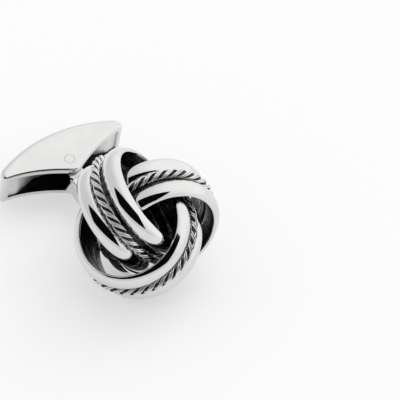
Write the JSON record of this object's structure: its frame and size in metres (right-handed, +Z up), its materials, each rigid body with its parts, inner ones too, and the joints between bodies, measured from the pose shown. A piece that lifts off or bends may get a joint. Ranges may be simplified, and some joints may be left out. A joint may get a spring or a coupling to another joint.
{
  "type": "knot cufflink",
  "caption": "Polished silver cufflink: a knot of linked ring bands edged with twisted rope, on a curved post with a swivelling bar toggle.",
  "frame": {"origin": "on the table, under the middle of the footprint", "axes": "+X from the knot to the toggle, +Z up, and the toggle's length along Y"},
  "size_m": [0.028, 0.0168, 0.0153],
  "materials": {
    "polished_silver": "mirror-polished sterling silver",
    "rope_silver": "twisted silver wire, darkened in its grooves",
    "spring_steel": "bare rolled spring steel"
  },
  "bodies": {
    "knot": {"ring_1_front_rail": "polished_silver", "ring_1_back_rail": "polished_silver", "ring_1_rope": "rope_silver", "ring_2_front_rail": "polished_silver", "ring_2_back_rail": "polished_silver", "ring_2_rope": "rope_silver", "ring_3_front_rail": "polished_silver", "ring_3_back_rail": "polished_silver", "ring_3_rope": "rope_silver", "post_seat": "polished_silver", "post": "polished_silver"},
    "toggle": {"toggle_shell": "polished_silver", "pivot_pin": "polished_silver", "leaf_spring": "spring_steel"}
  },
  "joints": [
    {"name": "toggle_pivot", "type": "hinge", "parent": "knot", "child": "toggle", "pos_m": [0.00946, 0.00027, 0.00273], "axis": [-0.2079, 0, 0.9781], "range_deg": [-90, 90]}
  ]
}
